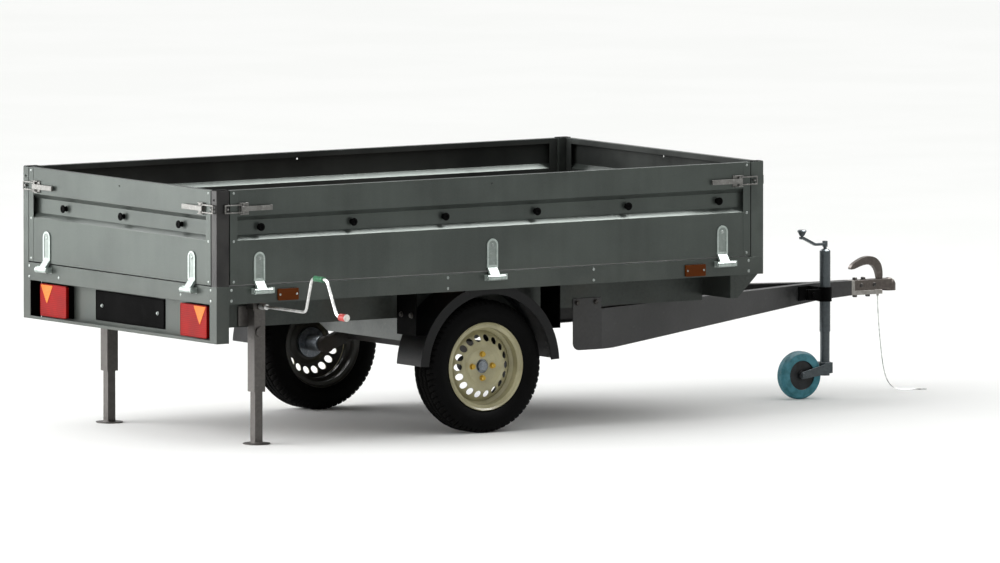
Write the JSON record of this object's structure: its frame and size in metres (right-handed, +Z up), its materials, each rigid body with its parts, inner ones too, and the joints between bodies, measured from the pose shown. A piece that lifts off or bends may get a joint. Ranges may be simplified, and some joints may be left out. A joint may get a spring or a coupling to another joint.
{
  "type": "single-axle drop-side utility trailer",
  "caption": "Single-axle trailer with a flat sheet-metal bed, four drop sides on hinges, V drawbar with ball coupling, jockey wheel and rear prop stands.",
  "frame": {"origin": "on the ground under the middle of the axle", "axes": "+X forward towards the tow coupling, +Y to the trailer's left, +Z up"},
  "size_m": [3.9763, 2.004, 1.063],
  "materials": {
    "bed_side": "satin green-grey coil-coated sheet",
    "bed_frame": "satin green-grey coil-coated sheet",
    "post_metal": "satin green-grey, the rear right post darker",
    "rail_metal": "satin grey",
    "floor_wood": "dark phenolic-faced plywood",
    "black_plastic": "matte black",
    "lamp_red": "clear red lens with an orange triangle",
    "reflector_orange": "amber lens",
    "hinge_zinc": "bright zinc",
    "latch_steel": "zinc-plated steel",
    "axle_steel": "dark satin",
    "carrier_steel": "zinc grey",
    "mudguard_plastic": "dark grey moulded plastic",
    "hub_steel": "machined",
    "rim_cream": "cream-coloured zinc lacquer",
    "tyre_rubber": "black rubber",
    "drawbar_metal": "dark grey satin",
    "coupling_plate": "zinc grey",
    "coupling_steel": "dark zinc",
    "cable_steel": "thin steel wire",
    "jockey_steel": "blue-grey zinc",
    "jockey_rubber": "teal rubber tread on a black hub",
    "stand_steel": "warm grey zinc",
    "crank_metal": "white-grey rod",
    "crank_plastic": "green sleeve and red end knob"
  },
  "bodies": {
    "chassis": {"floor_board": "floor_wood", "side_sills": "bed_frame", "end_sills": "bed_frame", "corner_brackets": "bed_frame", "cross_members": "rail_metal", "front_member": "rail_metal", "chassis_rails": "rail_metal", "light_panel": "bed_frame", "lamp_housings": "black_plastic", "lamp_lenses": "lamp_red", "number_plate": "black_plastic", "side_reflectors": "reflector_orange", "corner_posts": "post_metal", "post_caps": "black_plastic", "latch_studs": "latch_steel", "hinge_carriers": "hinge_zinc", "axle_carrier": "carrier_steel", "axle_beam": "axle_steel", "axle_arms": "axle_steel", "mudguards": "mudguard_plastic", "mudguard_brackets": "black_plastic", "drawbar_arms": "drawbar_metal", "coupling_nose": "coupling_plate", "coupling_body": "coupling_steel", "coupling_handle": "coupling_steel", "safety_cable": "cable_steel", "cable_hook": "cable_steel", "jockey_clamp": "black_plastic", "jockey_tube": "jockey_steel", "jockey_handle": "jockey_steel", "stand_tubes": "stand_steel", "stand_crank": "crank_metal", "crank_grip": "crank_plastic"},
    "side_right": {"side_right": "bed_side", "hinges_right": "hinge_zinc", "latches_right": "latch_steel"},
    "side_left": {"side_left": "bed_side", "hinges_left": "hinge_zinc", "latches_left": "latch_steel"},
    "tailboard": {"tailboard": "bed_side", "hinges_rear": "hinge_zinc", "latches_rear": "latch_steel"},
    "headboard": {"headboard": "bed_side", "hinges_front": "hinge_zinc", "latches_front": "latch_steel"},
    "wheel_right": {"hub_right": "hub_steel", "rim_right": "rim_cream", "tyre_right": "tyre_rubber"},
    "wheel_left": {"hub_left": "hub_steel", "rim_left": "rim_cream", "tyre_left": "tyre_rubber"},
    "jockey_leg": {"jockey_leg": "jockey_steel"},
    "jockey_fork": {"jockey_fork": "jockey_steel"},
    "jockey_wheel": {"jockey_wheel": "jockey_rubber"},
    "stand_leg_right": {"stand_leg_right": "stand_steel"},
    "stand_leg_left": {"stand_leg_left": "stand_steel"}
  },
  "joints": [
    {"name": "side_right_hinge", "type": "hinge", "parent": "chassis", "child": "side_right", "pos_m": [0, -0.757, 0.645], "axis": [1, 0, 0], "range_deg": [0, 74]},
    {"name": "side_left_hinge", "type": "hinge", "parent": "chassis", "child": "side_left", "pos_m": [0, 0.757, 0.645], "axis": [-1, 0, 0], "range_deg": [0, 180]},
    {"name": "tailboard_hinge", "type": "hinge", "parent": "chassis", "child": "tailboard", "pos_m": [-1.367, 0, 0.645], "axis": [0, -1, 0], "range_deg": [0, 180]},
    {"name": "headboard_hinge", "type": "hinge", "parent": "chassis", "child": "headboard", "pos_m": [1.354, 0, 0.645], "axis": [0, 1, 0], "range_deg": [0, 115]},
    {"name": "wheel_right_spin", "type": "hinge", "parent": "chassis", "child": "wheel_right", "pos_m": [0, -0.6145, 0.2735], "axis": [0, 1, 0], "continuous": true},
    {"name": "wheel_left_spin", "type": "hinge", "parent": "chassis", "child": "wheel_left", "pos_m": [0, 0.6145, 0.2735], "axis": [0, 1, 0], "continuous": true},
    {"name": "jockey_height", "type": "slide", "parent": "chassis", "child": "jockey_leg", "axis": [0, 0, 1], "range_m": [0, 0.12]},
    {"name": "jockey_swivel", "type": "hinge", "parent": "jockey_leg", "child": "jockey_fork", "pos_m": [2.042, -0.145, 0.1], "axis": [0, 0, 1], "continuous": true},
    {"name": "jockey_wheel_spin", "type": "hinge", "parent": "jockey_fork", "child": "jockey_wheel", "pos_m": [1.912, -0.145, 0.1], "axis": [0, 1, 0], "continuous": true},
    {"name": "stand_right_height", "type": "slide", "parent": "chassis", "child": "stand_leg_right", "axis": [0, 0, 1], "range_m": [0, 0.19]},
    {"name": "stand_left_height", "type": "slide", "parent": "chassis", "child": "stand_leg_left", "axis": [0, 0, 1], "range_m": [0, 0.19]}
  ]
}
